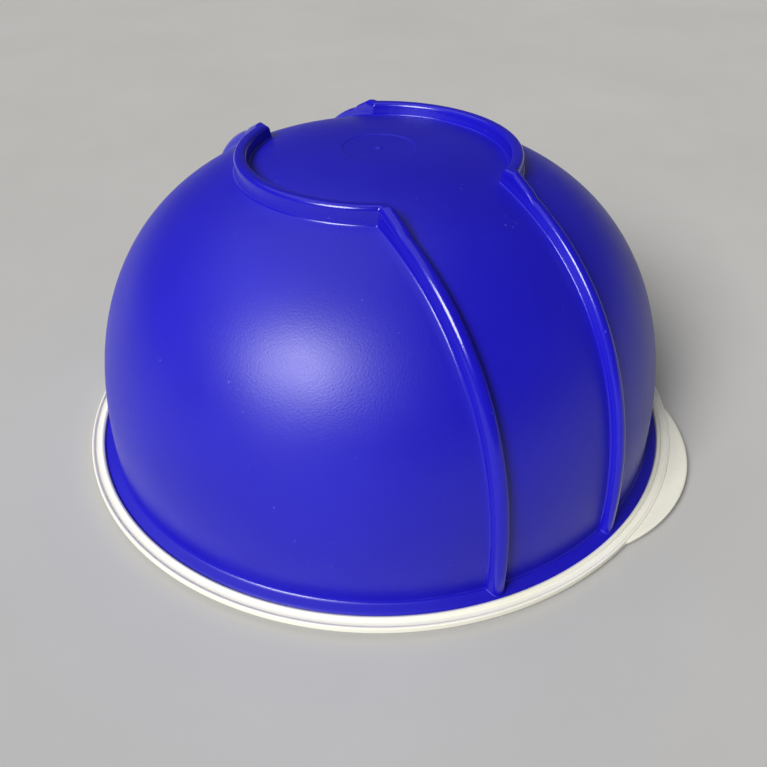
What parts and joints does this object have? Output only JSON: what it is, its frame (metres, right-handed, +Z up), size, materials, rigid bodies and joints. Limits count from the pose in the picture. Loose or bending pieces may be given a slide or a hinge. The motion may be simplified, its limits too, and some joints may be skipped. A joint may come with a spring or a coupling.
{
  "type": "salad spinner",
  "caption": "Hand-cranked salad spinner stored mouth down on its drive lid: ribbed domed bowl, slotted basket, geared lid with a fold-away knob.",
  "frame": {"origin": "on the spin axis, at the surface the lid rests on", "axes": "+Z up through the lid, the basket and the foot ring of the upturned bowl; the channel between the bowl's ribs runs along Y, and the lift tab is to the front right (-Y, +X)"},
  "size_m": [0.29, 0.29, 0.1375],
  "materials": {
    "bowl_blue": "satin",
    "lid_white": "semi-gloss",
    "basket_white": "satin",
    "trim_blue": "gloss",
    "gear_plastic": "matte",
    "bearing_plastic": "matte",
    "steel": "brushed",
    "spring_steel": "dark"
  },
  "bodies": {
    "lid_unit": {"lid": "lid_white", "retaining_ring": "lid_white", "ring_screws": "steel", "planet_pins": "steel", "planet_clips": "spring_steel", "spindle_bush_lower": "bearing_plastic", "spindle_bush_upper": "bearing_plastic"},
    "crank": {"crank_wheel": "lid_white", "wheel_cap": "trim_blue", "wheel_bush": "bearing_plastic", "ring_gear": "gear_plastic", "ring_gear_screws": "steel", "hinge_pin": "steel"},
    "knob_arm_unit": {"knob_arm": "lid_white", "knob_cap": "lid_white"},
    "knob_handle": {"knob_grip": "trim_blue"},
    "planet_1": {"planet_gear_1": "gear_plastic"},
    "planet_2": {"planet_gear_2": "gear_plastic"},
    "planet_3": {"planet_gear_3": "gear_plastic"},
    "drive": {"spindle": "steel", "sun_gear": "gear_plastic", "spindle_clip": "spring_steel", "drive_plate": "basket_white", "hub_washer": "steel", "hub_nut": "steel"},
    "basket_unit": {"basket": "basket_white", "basket_pivot_cup": "bearing_plastic"},
    "bowl_unit": {"bowl": "bowl_blue"}
  },
  "joints": [
    {"name": "drive_spin", "type": "hinge", "parent": "lid_unit", "child": "drive", "pos_m": [0, 0, 0.026], "axis": [0, 0, 1], "continuous": true},
    {"name": "crank_spin", "type": "hinge", "parent": "lid_unit", "child": "crank", "pos_m": [0, 0, 0.0046], "axis": [0, 0, 1], "continuous": true},
    {"name": "planet_1_spin", "type": "hinge", "parent": "lid_unit", "child": "planet_1", "pos_m": [0.024, 0, 0.0118], "axis": [0, 0, 1], "continuous": true},
    {"name": "planet_2_spin", "type": "hinge", "parent": "lid_unit", "child": "planet_2", "pos_m": [-0.012, 0.02078, 0.0118], "axis": [0, 0, 1], "continuous": true},
    {"name": "planet_3_spin", "type": "hinge", "parent": "lid_unit", "child": "planet_3", "pos_m": [-0.012, -0.02078, 0.0118], "axis": [0, 0, 1], "continuous": true},
    {"name": "knob_fold", "type": "hinge", "parent": "crank", "child": "knob_arm_unit", "pos_m": [-0.0235, -0.0555, 0.0103], "axis": [0, 1, 0], "range_deg": [0, 90]},
    {"name": "knob_spin", "type": "hinge", "parent": "knob_arm_unit", "child": "knob_handle", "pos_m": [0, -0.0555, 0.0103], "axis": [1, 0, 0], "continuous": true},
    {"name": "bowl_lift", "type": "slide", "parent": "lid_unit", "child": "bowl_unit", "axis": [0, 0, 1], "range_m": [0, 0.24]},
    {"name": "basket_lift", "type": "slide", "parent": "drive", "child": "basket_unit", "axis": [0, 0, 1], "range_m": [0, 0.096]}
  ],
  "couplings": [
    {"joint": "crank_spin", "follows": "drive_spin", "ratio": -0.33333},
    {"joint": "planet_1_spin", "follows": "drive_spin", "ratio": -1},
    {"joint": "planet_2_spin", "follows": "drive_spin", "ratio": -1},
    {"joint": "planet_3_spin", "follows": "drive_spin", "ratio": -1},
    {"joint": "basket_lift", "follows": "bowl_lift", "ratio": 0.4}
  ]
}
